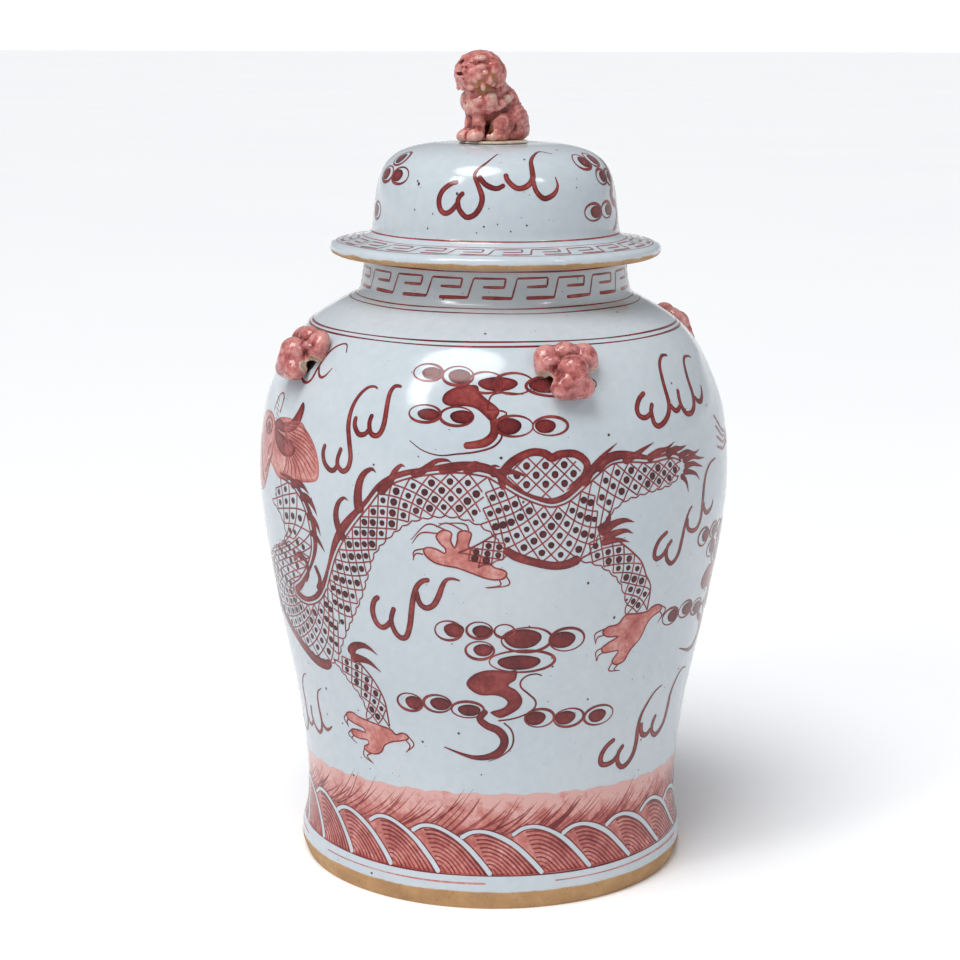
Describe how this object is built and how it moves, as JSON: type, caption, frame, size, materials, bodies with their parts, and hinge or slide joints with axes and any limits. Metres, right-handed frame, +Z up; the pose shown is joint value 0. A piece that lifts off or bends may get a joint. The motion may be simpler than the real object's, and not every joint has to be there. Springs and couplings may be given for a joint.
{
  "type": "ginger jar",
  "caption": "Large lidded ginger jar with a swelling shoulder, waisted foot, flanged domed lid, seated-lion knob and hollow lion masks round the shoulder.",
  "frame": {"origin": "centre of the foot's resting face", "axes": "+Z up along the jar's axis; one mask faces -Y, which is the front; the back one faces +Y, and the side ones stand 79 and 101 degrees round from the front one"},
  "size_m": [0.324, 0.324, 0.5589],
  "materials": {
    "body_glaze": "glossy pale blue-grey glaze with iron specks, painted in copper red",
    "lid_glaze": "glossy pale blue-grey glaze with iron specks, painted in copper red",
    "lion_glaze": "glossy mottled copper-red glaze, ochre where it pools",
    "pad_glaze": "glossy cream glaze",
    "biscuit": "matt unglazed stoneware"
  },
  "bodies": {
    "jar": {"lower_body": "body_glaze", "upper_body": "body_glaze", "neck_collar": "body_glaze", "mask_front": "lion_glaze", "mask_right": "lion_glaze", "mask_back": "lion_glaze", "mask_left": "lion_glaze"},
    "lid": {"lid": "lid_glaze", "lid_locating_ring": "biscuit", "finial_pad": "pad_glaze", "finial_lion": "lion_glaze"}
  },
  "joints": [
    {"name": "lid_lift", "type": "slide", "parent": "jar", "child": "lid", "axis": [0, 0, 1], "range_m": [0, 0.25]}
  ]
}
